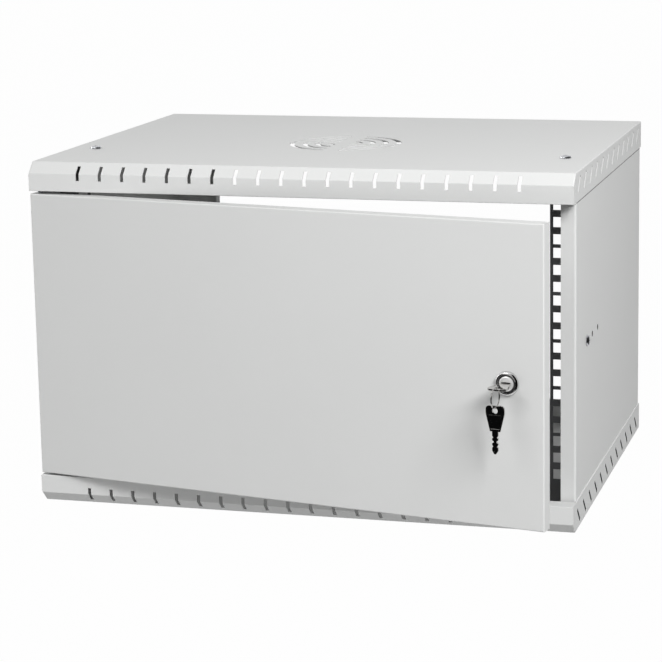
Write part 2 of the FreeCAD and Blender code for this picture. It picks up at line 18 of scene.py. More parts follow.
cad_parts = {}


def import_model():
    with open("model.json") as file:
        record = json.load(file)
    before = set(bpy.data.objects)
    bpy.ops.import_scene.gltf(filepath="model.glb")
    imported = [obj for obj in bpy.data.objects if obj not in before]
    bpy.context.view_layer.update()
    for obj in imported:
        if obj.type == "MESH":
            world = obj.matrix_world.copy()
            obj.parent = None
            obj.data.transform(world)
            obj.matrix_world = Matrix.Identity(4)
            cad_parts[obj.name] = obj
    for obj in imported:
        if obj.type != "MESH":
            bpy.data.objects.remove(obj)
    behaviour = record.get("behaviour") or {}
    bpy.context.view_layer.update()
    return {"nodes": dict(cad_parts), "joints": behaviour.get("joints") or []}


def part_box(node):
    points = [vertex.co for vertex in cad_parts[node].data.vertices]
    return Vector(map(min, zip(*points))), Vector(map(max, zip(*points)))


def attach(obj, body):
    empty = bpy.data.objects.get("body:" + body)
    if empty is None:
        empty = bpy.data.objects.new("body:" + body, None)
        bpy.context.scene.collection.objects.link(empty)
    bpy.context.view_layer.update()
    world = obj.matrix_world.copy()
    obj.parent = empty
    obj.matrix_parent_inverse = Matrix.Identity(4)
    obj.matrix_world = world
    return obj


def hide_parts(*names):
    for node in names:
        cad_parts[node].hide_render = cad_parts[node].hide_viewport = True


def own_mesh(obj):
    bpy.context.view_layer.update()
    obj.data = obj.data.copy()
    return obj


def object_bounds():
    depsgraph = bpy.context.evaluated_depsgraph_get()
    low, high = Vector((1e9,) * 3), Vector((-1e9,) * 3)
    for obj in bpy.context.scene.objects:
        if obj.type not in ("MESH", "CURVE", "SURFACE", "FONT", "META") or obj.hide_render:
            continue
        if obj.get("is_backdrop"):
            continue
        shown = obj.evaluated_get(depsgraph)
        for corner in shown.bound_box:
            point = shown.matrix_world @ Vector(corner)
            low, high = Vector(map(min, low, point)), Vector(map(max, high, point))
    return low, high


LOG = logging.getLogger("cabinet")
MM = 0.001
WELD = 1e-7
ROUND = 2 * math.pi
SMOOTHED = math.radians(35.0)
WIRE_SIDES = 10
HERE = Matrix()
THREAD_DEPTH = 0.45      # of a screw's thread, as a share of its pitch
CREST = (0.45, 0.55)     # where a thread's crest begins and ends, as shares of its pitch
WHITE = (1.0, 1.0, 1.0, 1.0)
LIGHT_GREY = (0.66, 0.665, 0.66)
Mesh = bmesh.types.BMesh
Edged = Union[bmesh.types.BMEdge, bmesh.types.BMVert]
Output = Union[int, str]
Number = Union[float, "Signal"]
Triple = tuple[float, float, float]
Colour = Triple
Shade = Union[Colour, "Signal"]
Pair = tuple[float, float]
Profile = list[Pair]


# ---- Shader expressions
@dataclass(frozen=True)
class Signal:
    """An output of a shader node that can be used in Python expressions."""

    sheet: "NodeSheet"
    maker: bpy.types.Node
    output: Output = 0

    @property
    def socket(self) -> bpy.types.NodeSocket:
        """The wrapped output socket."""
        return self.maker.outputs[self.output]

    def beside(self, output: Output) -> "Signal":
        """Another output of the same node, by its number or name."""
        return Signal(self.sheet, self.maker, output)

    def _math(self, operation: str, *values: Number) -> "Signal":
        """The result of a Math node on numbers or signals, in the order of its inputs."""
        return self.sheet.node("ShaderNodeMath", dict(enumerate(values)), operation=operation)

    def __add__(self, other: Number) -> "Signal":
        """self + other."""
        return self._math("ADD", self, other)

    def __sub__(self, other: Number) -> "Signal":
        """self - other."""
        return self._math("SUBTRACT", self, other)

    def __rsub__(self, other: Number) -> "Signal":
        """other - self."""
        return self._math("SUBTRACT", other, self)

    def __mul__(self, other: Number) -> "Signal":
        """self * other."""
        return self._math("MULTIPLY", self, other)

    def absolute(self) -> "Signal":
        """The value without its sign."""
        return self._math("ABSOLUTE", self)

    def above(self, level: float) -> "Signal":
        """1 where the value is above the level, else 0."""
        return self._math("GREATER_THAN", self, level)

    def clamped(self) -> "Signal":
        """The value held between 0 and 1."""
        return self._math("MAXIMUM", self._math("MINIMUM", self, 1.0), 0.0)


@dataclass(frozen=True)
class NodeSheet:
    """A node tree, of a material or a world, that is filled through one method up to its end node."""

    tree: bpy.types.NodeTree
    end: str

    def __post_init__(self) -> None:
        """Clears the tree."""
        self.tree.nodes.clear()

    def node(self, kind: str, inputs: Mapping[Output, object], output: Output = 0, **settings: str) -> Signal:
        """Adds any node.

        Args:
            kind: The node's type name.
            inputs: Values or signals by socket name or number.
            output: The output to return.
            settings: Attributes of the node, set before its inputs.

        Returns:
            The chosen output as a signal.
        """
        made = self.tree.nodes.new(kind)
        for key, value in settings.items():
            setattr(made, key, value)
        for key, value in inputs.items():
            if isinstance(value, Signal):
                self.tree.links.new(value.socket, made.inputs[key])
            else:
                made.inputs[key].default_value = value
        return Signal(self, made, output)

    def surface(self, shader: Signal) -> None:
        """Ends the tree with what the surface or the world shows."""
        self.node(self.end, {"Surface": shader})

    def noise(self, scale: float, detail: float = 2.0, stretch: Sequence[float] = (1, 1, 1)) -> Signal:
        """Noise on the object's own coordinates.

        Args:
            scale: Cells per metre.
            detail: Octaves of finer noise.
            stretch: Scale factors along the three axes.

        Returns:
            The noise value, about 0 to 1.
        """
        place = self.node("ShaderNodeTexCoord", {}, "Object")
        mapped = self.node("ShaderNodeMapping", {"Vector": place, "Scale": tuple(stretch)})
        return self.node("ShaderNodeTexNoise", {"Vector": mapped, "Scale": scale, "Detail": detail})

    def tint(self, low: Shade, high: Shade, mask: Number) -> Signal:
        """Blends two colours: the low one where the mask is 0, the high one where it is 1."""
        ends = [shade if isinstance(shade, Signal) else (*shade, 1.0) for shade in (low, high)]
        return self.node("ShaderNodeMix", {0: mask, 6: ends[0], 7: ends[1]}, 2, data_type="RGBA")

    def bump(self, height: Signal, strength: float, distance: float) -> Signal:
        """The normal bent by a relief, which is as high as the distance where it is 1."""
        return self.node("ShaderNodeBump", {"Height": height, "Strength": strength, "Distance": distance})

    def seen(self) -> Signal:
        """1 for camera, glossy and transmission rays, 0 for the rays that light things."""
        camera = self.node("ShaderNodeLightPath", {}, "Is Camera Ray")
        return (camera + camera.beside("Is Glossy Ray") + camera.beside("Is Transmission Ray")).clamped()


def new_material(name: str) -> tuple[bpy.types.Material, NodeSheet]:
    """Makes an empty material.

    Args:
        name: Its name.

    Returns:
        The material and its node sheet.
    """
    material = bpy.data.materials.new(name)
    material.use_nodes = True
    return material, NodeSheet(material.node_tree, "ShaderNodeOutputMaterial")


# ---- Finishes
@dataclass(frozen=True)
class PaintedShade:
    """Painted shade on a part of the side sheets: near-black walls of holes and slots, or a dark shadow line
    along the seam under a flange.
    """

    across: Pair
    along: Pair
    upright: Pair
    colour: Colour = (0.018, 0.018, 0.019)

    def mask(self, sheet: NodeSheet) -> Signal:
        """Finds the part by where it is: distance from the middle, depth and height.

        Args:
            sheet: The node sheet.

        Returns:
            1 on the part, 0 elsewhere.
        """
        place = sheet.node("ShaderNodeTexCoord", {}, "Object")
        x = sheet.node("ShaderNodeSeparateXYZ", {"Vector": place}, "X")
        ranges = ((x.absolute(), self.across), (x.beside("Y"), self.along), (x.beside("Z"), self.upright))
        first, second, third = (value.above(low) * (1 - value.above(high)) for value, (low, high) in ranges)
        return first * second * third


@dataclass(frozen=True)
class PowderCoat:
    """Baked powder paint: a fine orange-peel skin, an uneven gloss and a few darker specks, with painted
    shade where given.
    """

    name: str
    colour: Colour
    roughness: float = 0.50
    gloss_spread: float = 0.10
    shade_spread: float = 0.025
    specular: float = 0.15
    cloud_cells: float = 7.0
    peel_cells: float = 620.0
    grain_cells: float = 2400.0
    grain_in_shade: float = 0.3
    grain_in_relief: float = 0.2
    relief_strength: float = 0.35
    peel_depth: float = 0.04 * MM
    painted_shade: Sequence[PaintedShade] = ()

    def build(self) -> bpy.types.Material:
        """Makes the material.

        Returns:
            The material.
        """
        material, sheet = new_material(self.name)
        cloud = sheet.noise(self.cloud_cells, detail=3.0)
        peel = sheet.noise(self.peel_cells)
        grain = sheet.noise(self.grain_cells, detail=1.0)
        darker = tuple(c * (1 - self.shade_spread) for c in self.colour)
        lighter = tuple(min(1.0, c * (1 + self.shade_spread)) for c in self.colour)
        uneven = cloud * (1 - self.grain_in_shade) + grain * self.grain_in_shade
        paint = sheet.tint(darker, lighter, uneven.clamped())
        # Painted shade: each given part is tinted to its dark colour, standing in for the shade in holes,
        # slots and seams.
        for part in self.painted_shade:
            paint = sheet.tint(paint, part.colour, part.mask(sheet))
        relief = peel * (1 - self.grain_in_relief) + grain * self.grain_in_relief
        sheet.surface(sheet.node("ShaderNodeBsdfPrincipled", {
            "Base Color": paint,
            "Roughness": cloud * self.gloss_spread + (self.roughness - self.gloss_spread / 2),
            "Specular IOR Level": self.specular,
            "Normal": sheet.bump(relief, self.relief_strength, self.peel_depth),
        }))
        return material


@dataclass(frozen=True)
class Plating:
    """Plated metal with faint smudges and fine scratches along one way."""

    name: str
    colour: Colour
    roughness: float
    metallic: float = 1.0
    smudge: float = 0.10
    smudge_from: float = 0.4
    scratch_share: float = 0.3
    relief_strength: float = 0.3
    shade_spread: float = 0.06
    smear_cells: float = 260.0
    scratch_cells: float = 5200.0
    scratch_depth: float = 0.012 * MM
    scratch_stretch: Triple = (1.0, 1.0, 0.06)

    def build(self) -> bpy.types.Material:
        """Makes the material.

        Returns:
            The material.
        """
        material, sheet = new_material(self.name)
        smear = sheet.noise(self.smear_cells, detail=3.0)
        lines = sheet.noise(self.scratch_cells, stretch=self.scratch_stretch)
        darker = tuple(c * (1 - self.shade_spread) for c in self.colour)
        uneven = (smear - self.smudge_from) * self.smudge + lines * (self.smudge * self.scratch_share)
        sheet.surface(sheet.node("ShaderNodeBsdfPrincipled", {
            "Base Color": sheet.tint(darker, self.colour, smear),
            "Metallic": self.metallic,
            "Roughness": (uneven + self.roughness).clamped(),
            "Normal": sheet.bump(lines, self.relief_strength, self.scratch_depth),
        }))
        return material


# Painted shade: near-black walls of the side panel's screw holes, a dark painted shadow line under the roof's
# flange, and near-black walls of the floor flange's slots.
SIDE_HOLE_SHADE = PaintedShade((0.25665, 0.25775), (-0.37, -0.03), (-0.01, 0.02))
ROOF_SEAM_SHADOW = PaintedShade((0.2577, 0.2580), (-0.399, 0.001), (0.1360, 0.1385), (0.16, 0.16, 0.16))
FLOOR_SLOT_SHADE = PaintedShade((0.25785, 0.25895), (-0.385, -0.015), (-0.1630, -0.1385))


class Finish(Enum):
    """Every finish of the cabinet."""

    GREY_COAT = PowderCoat("grey_powder_coat", LIGHT_GREY)
    PANEL_COAT = PowderCoat("panel_powder_coat", LIGHT_GREY, painted_shade=(SIDE_HOLE_SHADE, ROOF_SEAM_SHADOW))
    TRAY_COAT = PowderCoat("tray_powder_coat", LIGHT_GREY, painted_shade=(FLOOR_SLOT_SHADE,))
    RAIL_COAT = PowderCoat("rail_powder_coat", (0.19, 0.191, 0.195), roughness=0.40, shade_spread=0.10)
    ZINC = Plating("bright_zinc", (0.52, 0.53, 0.55), 0.28)
    CHROME = Plating("lock_chrome", (0.72, 0.72, 0.72), 0.08, smudge=0.05, scratch_depth=0.004 * MM)
    SATIN = Plating("plug_face_nickel", (0.90, 0.90, 0.89), 0.34, metallic=0.45, smudge=0.06)
    # Painted shade: dark metal for the ring that darkens the well round the plug.
    WELL_SHADE = Plating("lock_well_painted_shade", (0.09, 0.09, 0.093), 0.45, metallic=0.5, shade_spread=0.20)
    NICKEL = Plating("key_nickel", (0.58, 0.57, 0.56), 0.08, smudge=0.05)
    SPRING = Plating("spring_steel", (0.42, 0.42, 0.43), 0.30)


class Workshop:
    """Holds the finishes' materials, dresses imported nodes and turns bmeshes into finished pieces."""

    def __init__(self, nodes: Mapping[str, bpy.types.Object]) -> None:
        """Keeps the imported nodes, by name, and builds the material of every finish."""
        self.nodes = nodes
        self.materials = {finish: finish.value.build() for finish in Finish}

    def dress(self, names: Sequence[str], finish: Finish) -> None:
        """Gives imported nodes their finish.

        Args:
            names: The nodes' names.
            finish: Their finish.
        """
        for name in names:
            worn = self.nodes[name].data.materials
            worn.clear()
            worn.append(self.materials[finish])
            LOG.info("dressed %s in %s", name, finish.value.name)

    def piece(self, name: str, mesh: Mesh, finish: Finish, body: str, slot: str,
              replaces: Sequence[str] = (), place: Matrix = HERE) -> bpy.types.Object:
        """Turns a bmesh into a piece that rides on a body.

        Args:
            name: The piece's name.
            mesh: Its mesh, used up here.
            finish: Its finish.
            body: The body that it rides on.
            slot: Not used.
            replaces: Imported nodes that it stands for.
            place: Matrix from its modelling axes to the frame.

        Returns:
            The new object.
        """
        moved(mesh, place)
        clean(mesh)
        for edge in mesh.edges:
            edge.smooth = edge.calc_face_angle(math.pi) < SMOOTHED
        for face in mesh.faces:
            face.smooth = True
        made = as_object(name, mesh)
        made.data.materials.append(self.materials[finish])
        made.modifiers.new("flats_kept_flat", "WEIGHTED_NORMAL").keep_sharp = True
        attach(made, body)
        if replaces:
            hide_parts(*replaces)
        LOG.info("built %s on %s with %d faces", name, body, len(made.data.polygons))
        return made


# ---- Mesh helpers
class Joining(Enum):
    """How two closed meshes are combined."""

    CUT = "DIFFERENCE"
    ADD = "UNION"
    COMMON = "INTERSECT"


def as_object(name: str, mesh: Mesh) -> bpy.types.Object:
    """Puts a bmesh into a new object of the scene.

    Args:
        name: The object's name.
        mesh: The mesh, used up.

    Returns:
        The object, at the origin.
    """
    data = bpy.data.meshes.new(name)
    mesh.to_mesh(data)
    mesh.free()
    made = bpy.data.objects.new(name, data)
    bpy.context.scene.collection.objects.link(made)
    return made


def clean(mesh: Mesh) -> None:
    """Welds a mesh's doubled points and turns its faces outwards."""
    bmesh.ops.remove_doubles(mesh, verts=mesh.verts, dist=WELD)
    bmesh.ops.recalc_face_normals(mesh, faces=mesh.faces)


def grow(shape: Mesh, way: Sequence[float]) -> None:
    """Draws out a mesh's only face.

    Args:
        shape: The mesh, which is changed.
        way: How far the face goes along each axis.
    """
    drawn = bmesh.ops.extrude_face_region(shape, geom=list(shape.faces))["geom"]
    ends = [item for item in drawn if isinstance(item, bmesh.types.BMVert)]
    bmesh.ops.translate(shape, verts=ends, vec=way)


def lathe(profile: Profile, steps: int) -> Mesh:
    """Turns a profile about the Y axis.

    Args:
        profile: Points as (place along Y, radius), from one end to the other.
        steps: Segments round the turn.

    Returns:
        The turned shape, its ends closed where the radius reaches 0.
    """
    shape = bmesh.new()
    points = [shape.verts.new((radius, along, 0)) for along, radius in profile]
    edges = [shape.edges.new(pair) for pair in zip(points, points[1:])]
    bmesh.ops.spin(shape, geom=points + edges, cent=(0, 0, 0), axis=(0, 1, 0), angle=ROUND, steps=steps,
                   use_merge=True)
    clean(shape)
    return shape


def ring(section: Profile, steps: int) -> Mesh:
    """Turns a closed section, given as a profile, about the Y axis."""
    return lathe(section + section[:1], steps)


def coil(radius: float, wire: float, turns: float, rise: float, steps: int) -> Mesh:
    """A round wire wound about the X axis.

    Args:
        radius: From the axis to the middle of the wire.
        wire: The wire's radius.
        turns: Number of turns.
        rise: Whole travel along the axis.
        steps: Segments in a turn.

    Returns:
        The coil, centred on the origin.
    """
    shape = bmesh.new()
    count = round(turns * steps)
    start = Matrix.Translation((-rise / 2, 0, radius)) @ Matrix.Rotation(math.pi / 2, 4, "X")
    bmesh.ops.create_circle(shape, segments=WIRE_SIDES, radius=wire, cap_ends=True, matrix=start)
    geom = list(shape.verts) + list(shape.edges) + list(shape.faces)
    bmesh.ops.spin(shape, geom=geom, cent=(0, 0, 0), axis=(1, 0, 0), dvec=(rise / count, 0, 0),
                   angle=ROUND * turns, steps=count)
    return shape


def slab(size: Sequence[float], centre: Sequence[float] = (0, 0, 0)) -> Mesh:
    """A block.

    Args:
        size: Its three sides.
        centre: Its middle.

    Returns:
        The block's mesh.
    """
    shape = bmesh.new()
    bmesh.ops.create_cube(shape, size=1.0, matrix=Matrix.Translation(centre) @ Matrix.Diagonal((*size, 1)))
    return shape


def moved(shape: Mesh, matrix: Matrix) -> Mesh:
    """Moves a mesh by a matrix and gives it back."""
    bmesh.ops.transform(shape, matrix=matrix, verts=shape.verts)
    return shape


def join(shapes: Iterator[Mesh]) -> Mesh:
    """Puts several meshes side by side into one.

    Args:
        shapes: The meshes, all but the first used up.

    Returns:
        The first mesh with the others added.
    """
    whole = next(shapes)
    for other in shapes:
        data = bpy.data.meshes.new("joined")
        other.to_mesh(data)
        other.free()
        whole.from_mesh(data)
        bpy.data.meshes.remove(data)
    return whole


def combine(body: Mesh, tool: Mesh, how: Joining = Joining.CUT) -> Mesh:
    """Combines two closed meshes.

    Args:
        body: The mesh that is worked on, used up.
        tool: The other mesh, used up.
        how: Whether the tool is cut away, added, or keeps what is common.

    Returns:
        The new mesh.
    """
    clean(body)
    clean(tool)
    work, helper = as_object("worked", body), as_object("helper", tool)
    step = work.modifiers.new("joining", "BOOLEAN")
    step.operation, step.object, step.solver = how.value, helper, "EXACT"
    bpy.context.view_layer.update()
    result = bmesh.new()
    result.from_object(work, bpy.context.evaluated_depsgraph_get())
    for item in (work, helper):
        data = item.data
        bpy.data.objects.remove(item)
        bpy.data.meshes.remove(data)
    return result


def bevel(shape: Mesh, corners: Sequence[Edged], width: float, segments: int, affect: str) -> None:
    """Bevels edges or points of a mesh."""
    bmesh.ops.bevel(shape, geom=corners, offset=width, offset_type="OFFSET", segments=segments, profile=0.5,
                    affect=affect, material=-1, clamp_overlap=True)


def soften(shape: Mesh, width: float, sharper_deg: float) -> Mesh:
    """Breaks sharp edges with one flat.

    Args:
        shape: The mesh, which is changed.
        width: Offset of the flat from the edge.
        sharper_deg: Edges that turn less than this are left alone.

    Returns:
        The same mesh.
    """
    edges = [e for e in shape.edges if e.is_manifold and e.calc_face_angle(0) > math.radians(sharper_deg)]
    bevel(shape, edges, width, 1, "EDGES")
    return shape


def facing(direction: Sequence[float], at: Sequence[float]) -> Matrix:
    """Matrix that turns +Y to a direction and moves the origin to a point."""
    turn = Vector((0, 1, 0)).rotation_difference(Vector(direction)).to_matrix().to_4x4()
    return Matrix.Translation(at) @ turn


def lumps(node: bpy.types.Object) -> list[tuple[Vector, Vector]]:
    """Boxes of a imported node's separate solids.

    Args:
        node: The node's object, which is only read.

    Returns:
        Lowest and highest corner of each solid, in order of their places.
    """
    shape = bmesh.new()
    shape.from_mesh(node.data)
    bmesh.ops.remove_doubles(shape, verts=shape.verts, dist=WELD)
    boxes = []
    waiting = set(shape.verts)
    while waiting:
        reached = [waiting.pop()]
        for vert in reached:
            fresh = {edge.other_vert(vert) for edge in vert.link_edges} & waiting
            waiting -= fresh
            reached.extend(fresh)
        corners = [[pick(vert.co[axis] for vert in reached) for axis in range(3)] for pick in (min, max)]
        boxes.append((Vector(corners[0]), Vector(corners[1])))
    shape.free()
    return sorted(boxes, key=lambda box: tuple(round(value, 5) for value in box[0]))


def thread(start: float, end: float, radius: float, pitch: float, depth: float) -> Profile:
    """Profile of a threaded stretch, as rings one pitch apart.

    Args:
        start: Where it begins along the axis.
        end: Where it ends.
        radius: Over the crests.
        pitch: From crest to crest.
        depth: From crest to root, outwards if negative.

    Returns:
        Points as (place along the axis, radius).
    """
    count = int((end - start) / pitch)
    points = [(start, radius - depth)]
    for turn in range(count):
        at = start + turn * pitch
        points += [(at + pitch * share, radius) for share in CREST] + [(at + pitch, radius - depth)]
    return points


# ---- Fasteners
@dataclass(frozen=True)
class PanHead:
    """A cross-recessed pan head screw, its seat at the origin and its shank along +Y."""

    head_radius: float
    head_height: float
    shank_radius: float
    length: float
    pitch: float = 0.8 * MM
    crown: Sequence[Pair] = ((1.0, 0.0), (1.0, 0.52), (0.95, 0.70), (0.80, 0.87), (0.56, 0.97), (0.30, 1.0),
                             (0.05, 1.0), (0.0, 0.96))
    plain_end: float = 0.4 * MM
    neck_share: float = 0.86
    tip_share: float = 0.72
    recess_reach: float = 1.08
    recess_depth: float = 0.66
    recess_blade: float = 0.22
    recess_foot: Pair = (0.45, 0.7)
    recess_turn_deg: float = 20.0
    steps: int = 36

    def mesh(self) -> Mesh:
        """Builds the screw.

        Returns:
            Its mesh: a rounded head with its recess, and a threaded shank.
        """
        shank, end = self.shank_radius, self.length
        crown = [(-self.head_height * up, self.head_radius * out) for up, out in self.crown]
        screwed = thread(self.plain_end, end - self.plain_end, shank, self.pitch, self.pitch * THREAD_DEPTH)
        tip = [(end, shank * self.tip_share), (end, 0.0)]
        whole = lathe(crown + [(0.0, shank * self.neck_share)] + screwed + tip, self.steps)
        return combine(whole, self._recess())

    def _recess(self) -> Mesh:
        """Builds the driver's recess as a tapered cross.

        Returns:
            The cutter.
        """
        reach, blade = self.head_radius * self.recess_reach, self.head_radius * self.recess_blade
        deep = self.head_height * self.recess_depth
        arms = []
        for arm in range(2):
            shape = slab((reach, deep * 2, blade), (0, -self.head_height, 0))
            foot = [vert for vert in shape.verts if vert.co.y > -self.head_height]
            bmesh.ops.scale(shape, verts=foot, vec=(self.recess_foot[0], 1.0, self.recess_foot[1]))
            turn = math.radians(90 * arm + self.recess_turn_deg)
            arms.append(moved(shape, Matrix.Rotation(turn, 4, "Y")))
        return combine(arms[0], arms[1], Joining.ADD)


@dataclass(frozen=True)
class HexNut:
    """A chamfered and tapped hexagon nut, its base at the origin and its height along +Y."""

    corner_radius: float
    height: float
    bore: float
    pitch: float = 0.8 * MM
    steps: int = 48
    face_share: float = 0.86
    chamfer_share: float = 0.12
    cone_share: float = 1.01
    tapped: Pair = (-0.2, 1.3)
    tap_depth: float = 0.4

    def mesh(self) -> Mesh:
        """Builds the nut.

        Returns:
            Its mesh: a hexagon within a turned outline, drilled and tapped.
        """
        shape = bmesh.new()
        flat = Matrix.Rotation(math.pi / 2, 4, "X")
        bmesh.ops.create_circle(shape, segments=6, radius=self.corner_radius, cap_ends=True, matrix=flat)
        grow(shape, (0, self.height, 0))
        inner, wide = self.corner_radius * self.face_share, self.corner_radius * self.cone_share
        rise, top = self.height * self.chamfer_share, self.height
        turned = lathe([(0.0, 0.0), (0.0, inner), (rise, wide), (top - rise, wide), (top, inner), (top, 0.0)],
                       self.steps)
        start, end = (share * top for share in self.tapped)
        tapped = thread(start, end, self.bore, self.pitch, -self.pitch * self.tap_depth)
        drill = lathe([(tapped[0][0], 0.0)] + tapped + [(tapped[-1][0], 0.0)], self.steps)
        return combine(combine(shape, turned, Joining.COMMON), drill)


@dataclass(frozen=True)
class PressedStud:
    """A threaded stud with a flush pressed end, its end at the origin and its thread along +Y."""

    radius: float
    length: float
    pitch: float = 0.8 * MM
    edge: float = 0.2 * MM
    plain: float = 1.3 * MM
    tip: float = 0.5 * MM
    foot_share: float = 0.9
    tip_share: float = 0.7
    steps: int = 36

    def mesh(self) -> Mesh:
        """Builds the stud.

        Returns:
            Its mesh.
        """
        radius, end = self.radius, self.length
        foot = [(0.0, 0.0), (0.0, radius * self.foot_share), (self.edge, radius), (self.plain, radius)]
        screwed = thread(self.plain, end - self.tip, radius, self.pitch, self.pitch * THREAD_DEPTH)
        return lathe(foot + screwed + [(end, radius * self.tip_share), (end, 0.0)], self.steps)


# ---- Shell
@dataclass
class Shell:
    """Roof, floor, side panels and rack rails with the screws, nuts and studs that hold them."""

    shop: Workshop
    trays: Sequence[str] = ("roof", "floor_tray")
    panels: Sequence[str] = ("side_panel_left", "side_panel_right")
    rails: Sequence[str] = ("rack_rail_left", "rack_rail_right")
    screw: PanHead = PanHead(5.2 * MM, 2.6 * MM, 2.5 * MM, 9.5 * MM)
    bore: float = 2.5 * MM
    rack_hole_spacing: float = 465.1 * MM
    roof_screw_behind_rail: float = 38.5 * MM
    side_screw_behind_rail: float = 9.0 * MM

    def build(self) -> None:
        """Dresses the sheet metal and makes its fasteners."""
        self.shop.dress(self.trays, Finish.TRAY_COAT)
        self.shop.dress(self.panels, Finish.PANEL_COAT)
        for name, node, meshes in (("panel_screw_set", "panel_screws", self._screws()),
                                   ("panel_nut_set", "panel_nuts", self._nuts()),
                                   ("clinch_stud_set", "clinch_studs", self._studs())):
            self.shop.piece(name, join(meshes), Finish.ZINC, "shell", "zinc_steel", (node,))
        self.shop.dress(self.rails, Finish.RAIL_COAT)

    def _screws(self) -> Iterator[Mesh]:
        """Makes the screws of the roof, the floor and both sides.

        Yields:
            Each screw's mesh in the frame.
        """
        rail_low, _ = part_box("rack_rail_right")
        _, roof_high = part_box("roof")
        floor_low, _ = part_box("floor_tray")
        _, panel_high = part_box("side_panel_right")
        for side in (-1, 1):
            x = side * self.rack_hole_spacing / 2
            y = rail_low[1] + self.roof_screw_behind_rail
            side_y = rail_low[1] + self.side_screw_behind_rail
            for at, inward in (((x, y, roof_high[2]), (0, 0, -1)), ((x, y, floor_low[2]), (0, 0, 1)),
                               ((side * panel_high[0], side_y, 0), (-side, 0, 0))):
                yield moved(self.screw.mesh(), facing(inward, at))

    def _nuts(self) -> Iterator[Mesh]:
        """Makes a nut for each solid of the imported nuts.

        Yields:
            Its mesh in the frame.
        """
        for low, high in lumps(self.shop.nodes["panel_nuts"]):
            size = high - low
            axis = min(range(3), key=lambda place: size[place])
            way = Vector(1.0 if place == axis else 0.0 for place in range(3))
            base = (low + high) / 2 - way * (size[axis] / 2)
            nut = HexNut(max(size) / 2, size[axis], self.bore)
            yield moved(nut.mesh(), facing(way, base))

    def _studs(self) -> Iterator[Mesh]:
        """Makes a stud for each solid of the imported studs.

        Yields:
            Its mesh in the frame.
        """
        for low, high in lumps(self.shop.nodes["clinch_studs"]):
            middle = (low + high) / 2
            stud = PressedStud(self.bore, high.y - low.y)
            yield moved(stud.mesh(), facing((0, -1, 0), (middle.x, high.y, middle.z)))


# ---- Door
@dataclass
class Door:
    """Door panel, hinge brackets, the two hinge pins and the upper pin's spring."""

    shop: Workshop
    coated: Sequence[str] = ("door_panel", "hinge_bracket_upper", "hinge_bracket_lower")
    pin_radius: float = 2.5 * MM
    pin_round: float = 0.8 * MM
    pin_cut: float = 0.3
    pin_steps: int = 48
    collar_radius: float = 4.0 * MM
    collar_below_tip: float = 9.86 * MM
    collar_height: float = 1.4 * MM
    knob_radius: float = 3.4 * MM
    knob_height: float = 4.0 * MM
    knob_grooves: Sequence[Pair] = ((0.34, 0.50), (0.60, 0.76))
    groove_slope: float = 0.04
    groove_depth: float = 0.3 * MM
    foot_above_tip: float = 4.32 * MM
    foot_height: float = 1.88 * MM
    spring_turns: float = 5.5
    spring_wire: float = 0.42 * MM
    spring_radius: float = 3.07 * MM
    spring_steps: int = 48
    pin_travel: float = 6.5 * MM

    def build(self) -> None:
        """Dresses the door, turns its pins and winds the spring."""
        self.shop.dress(self.coated, Finish.GREY_COAT)
        self._pin("hinge_pin_sprung", "hinge_pin_upper", "upper_pin", self._upper_profile)
        self._pin("hinge_pin_fixed", "hinge_pin_lower", "door", self._lower_profile)
        self._spring()

    def _pin(self, name: str, node: str, body: str, profile: Callable[[float], Profile]) -> None:
        """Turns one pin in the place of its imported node.

        Args:
            name: The piece's name.
            node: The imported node.
            body: The body that it rides on.
            profile: Makes the pin's profile from its length, tip last.
        """
        low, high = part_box(node)
        foot = ((low.x + high.x) / 2, (low.y + high.y) / 2, low.z)
        shape, place = lathe(profile(high.z - low.z), self.pin_steps), facing((0, 0, 1), foot)
        self.shop.piece(name, shape, Finish.ZINC, body, "zinc_steel", (node,), place)

    def _upper_profile(self, length: float) -> Profile:
        """Profile of the sprung pin: grooved knob, shaft, collar and rounded tip.

        Args:
            length: The pin's length.

        Returns:
            Points from the knob's end to the tip.
        """
        radius, knob, edge, high = self.pin_radius, self.knob_radius, self.pin_round, self.knob_height
        grooves = []
        for start, end in self.knob_grooves:
            grooves += [(high * start, knob), (high * (start + self.groove_slope), knob - self.groove_depth),
                        (high * (end - self.groove_slope), knob - self.groove_depth), (high * end, knob)]
        collar, wide = length - self.collar_below_tip, self.collar_radius
        return ([(0.0, 0.0), (0.0, knob - edge / 2), (edge / 2, knob)] + grooves
                + [(high - edge / 2, knob), (high, knob - edge / 2), (high, radius), (collar, radius),
                   (collar, wide - edge / 4), (collar + edge / 4, wide), (collar + self.collar_height, wide),
                   (collar + self.collar_height, radius)] + self._tip(length))

    def _lower_profile(self, length: float) -> Profile:
        """Profile of the fixed pin: rounded lower end, the collar that carries the door, and the top.

        Args:
            length: The pin's length.

        Returns:
            Points from the lower end to the top.
        """
        radius, edge, wide = self.pin_radius, self.pin_round, self.collar_radius
        foot, top = self.foot_above_tip, self.foot_above_tip + self.foot_height
        return ([(0.0, 0.0), (0.0, radius - edge), (edge, radius), (foot, radius), (foot, wide), (top, wide),
                 (top, radius)] + self._tip(length))

    def _tip(self, end: float) -> Profile:
        """The rounded end of a pin, from the shaft to the axis."""
        radius, edge, cut = self.pin_radius, self.pin_round, self.pin_round * self.pin_cut
        return [(end - edge, radius), (end - cut, radius - cut), (end, radius - edge), (end, 0.0)]

    def _spring(self) -> None:
        """Winds the spring between the bracket's shelf and the pin's collar, which presses it together."""
        low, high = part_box("hinge_spring")
        pin_low, pin_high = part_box("hinge_pin_upper")
        shape = coil(self.spring_radius, self.spring_wire, self.spring_turns,
                     high.z - low.z - 2 * self.spring_wire, self.spring_steps)
        middle = Vector(((pin_low.x + pin_high.x) / 2, (pin_low.y + pin_high.y) / 2, (low.z + high.z) / 2))
        place = Matrix.Translation(middle) @ Matrix.Rotation(-math.pi / 2, 4, "Y")
        spring = self.shop.piece("hinge_spring_coil", shape, Finish.SPRING, "door", "spring_steel",
                                 ("hinge_spring",), place)
        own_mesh(spring)


